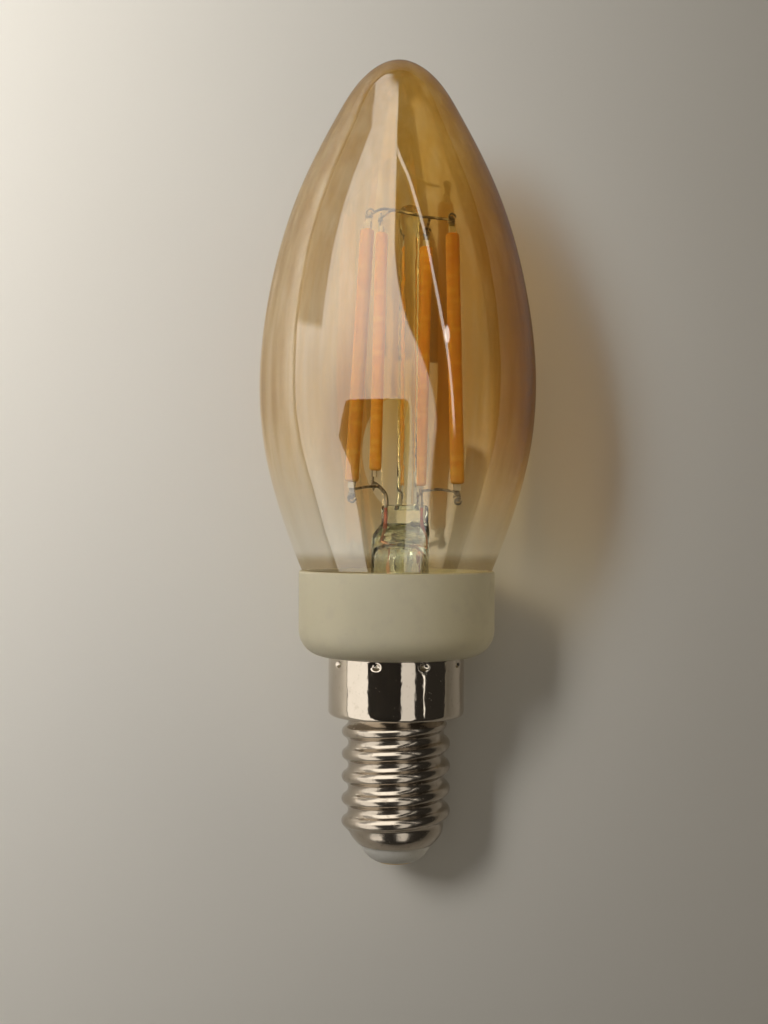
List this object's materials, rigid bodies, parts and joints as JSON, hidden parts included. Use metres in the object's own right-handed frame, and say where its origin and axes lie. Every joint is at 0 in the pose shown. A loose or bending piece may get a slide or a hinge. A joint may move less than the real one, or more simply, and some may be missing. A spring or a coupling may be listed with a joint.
{
  "type": "led filament candle lamp",
  "caption": "Candle-shaped LED filament lamp with an amber glass bulb, a cream collar and a small Edison screw cap.",
  "frame": {"origin": "lowest point of the centre contact, on the lamp's axis", "axes": "+Z along the lamp's axis from the cap's contact to the tip of the glass; -Y is the front"},
  "size_m": [0.035, 0.035, 0.102],
  "materials": {
    "amber_glass": "clear amber glass, darker towards the tip and fading towards the neck",
    "collar_plastic": "cream moulded plastic, satin",
    "cement": "cured silicone",
    "stem_glass": "clear glass",
    "nickel_wire": "dull nickel",
    "dumet_wire": "red copper oxide",
    "copper_wire": "bare copper",
    "substrate": "white ceramic",
    "led_die": "polished die",
    "phosphor": "orange phosphor in silicone",
    "nickel_plate": "bright nickel plate",
    "cap_insulator": "white moulded plastic",
    "contact_brass": "plated brass",
    "solder": "bright tin solder",
    "board": "green solder mask",
    "capacitor_can": "drawn can",
    "ferrite": "sintered ferrite",
    "moulded_package": "moulded epoxy",
    "resistor_body": "ceramic with a black film",
    "resistor_coat": "lacquered ceramic",
    "sleeving": "silicone sleeve"
  },
  "bodies": {
    "root": {"glass_bulb": "amber_glass", "collar": "collar_plastic", "neck_cement": "cement", "stem_flare": "stem_glass", "glass_post": "stem_glass", "exhaust_tube": "stem_glass", "top_bridge_wire": "nickel_wire", "top_cross_wire_right": "nickel_wire", "top_cross_wire_left": "nickel_wire", "dumet_seal_left": "dumet_wire", "dumet_seal_right": "dumet_wire", "inner_lead_left": "nickel_wire", "inner_lead_right": "nickel_wire", "outer_lead_left": "copper_wire", "outer_lead_right": "copper_wire", "bottom_cross_wire_left": "nickel_wire", "bottom_cross_wire_right": "nickel_wire", "filament_substrate_right_front": "substrate", "filament_chips_right_front": "led_die", "filament_tabs_right_front": "nickel_wire", "filament_phosphor_right_front": "phosphor", "filament_substrate_right_rear": "substrate", "filament_chips_right_rear": "led_die", "filament_tabs_right_rear": "nickel_wire", "filament_phosphor_right_rear": "phosphor", "filament_substrate_left_rear": "substrate", "filament_chips_left_rear": "led_die", "filament_tabs_left_rear": "nickel_wire", "filament_phosphor_left_rear": "phosphor", "filament_substrate_left_front": "substrate", "filament_chips_left_front": "led_die", "filament_tabs_left_front": "nickel_wire", "filament_phosphor_left_front": "phosphor", "cap_shell": "nickel_plate", "cap_insulator": "cap_insulator", "centre_contact": "contact_brass", "contact_solder": "solder", "driver_board": "board", "smoothing_capacitor": "capacitor_can", "choke_core": "ferrite", "choke_winding": "copper_wire", "bridge_rectifier": "moulded_package", "rectifier_leads": "nickel_wire", "driver_chip": "moulded_package", "driver_chip_leads": "nickel_wire", "sense_resistors": "resistor_body", "fuse_resistor": "resistor_coat", "live_lead_sleeve": "sleeving", "live_lead": "copper_wire", "fuse_lead": "copper_wire", "neutral_lead": "copper_wire", "solder_joints": "solder"}
  },
  "joints": []
}
